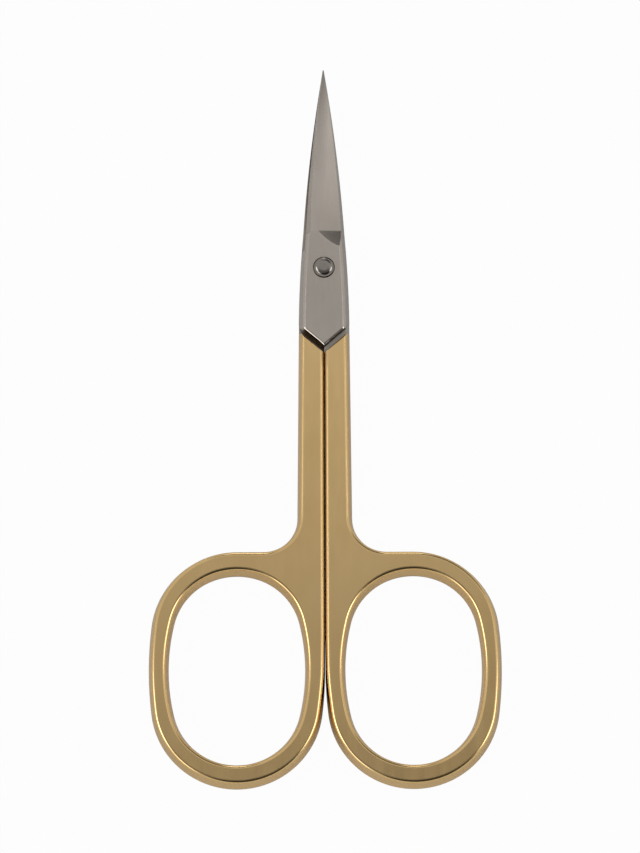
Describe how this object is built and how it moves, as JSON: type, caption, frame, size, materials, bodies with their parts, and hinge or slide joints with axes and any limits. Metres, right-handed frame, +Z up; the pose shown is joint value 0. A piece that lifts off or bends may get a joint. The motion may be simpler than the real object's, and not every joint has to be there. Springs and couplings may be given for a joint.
{
  "type": "cuticle scissors",
  "caption": "Small pointed scissors with slim upward-curved steel blades on a domed rivet and gold-plated shanks ending in oval finger rings, for trimming cuticles.",
  "frame": {"origin": "middle of the bounding box on the underside of the closed scissors lying flat", "axes": "+X to the right seen from the front with the tip up, +Y along the scissors to the tip, +Z up out of the front face"},
  "size_m": [0.0428, 0.09, 0.0043],
  "materials": {
    "ground_steel": "finely ground, satin",
    "gold_plating": "thin polished gold plating on the steel forging",
    "polished_steel": "polished"
  },
  "bodies": {
    "rear_half": {"rear_blade": "ground_steel", "rear_handle": "gold_plating", "pivot_rivet": "polished_steel"},
    "front_half": {"front_blade": "ground_steel", "front_handle": "gold_plating"}
  },
  "joints": [
    {"name": "pivot", "type": "hinge", "parent": "rear_half", "child": "front_half", "pos_m": [0, 0.01977, 0.0019], "axis": [0, 0, 1], "range_deg": [0, 90]}
  ]
}
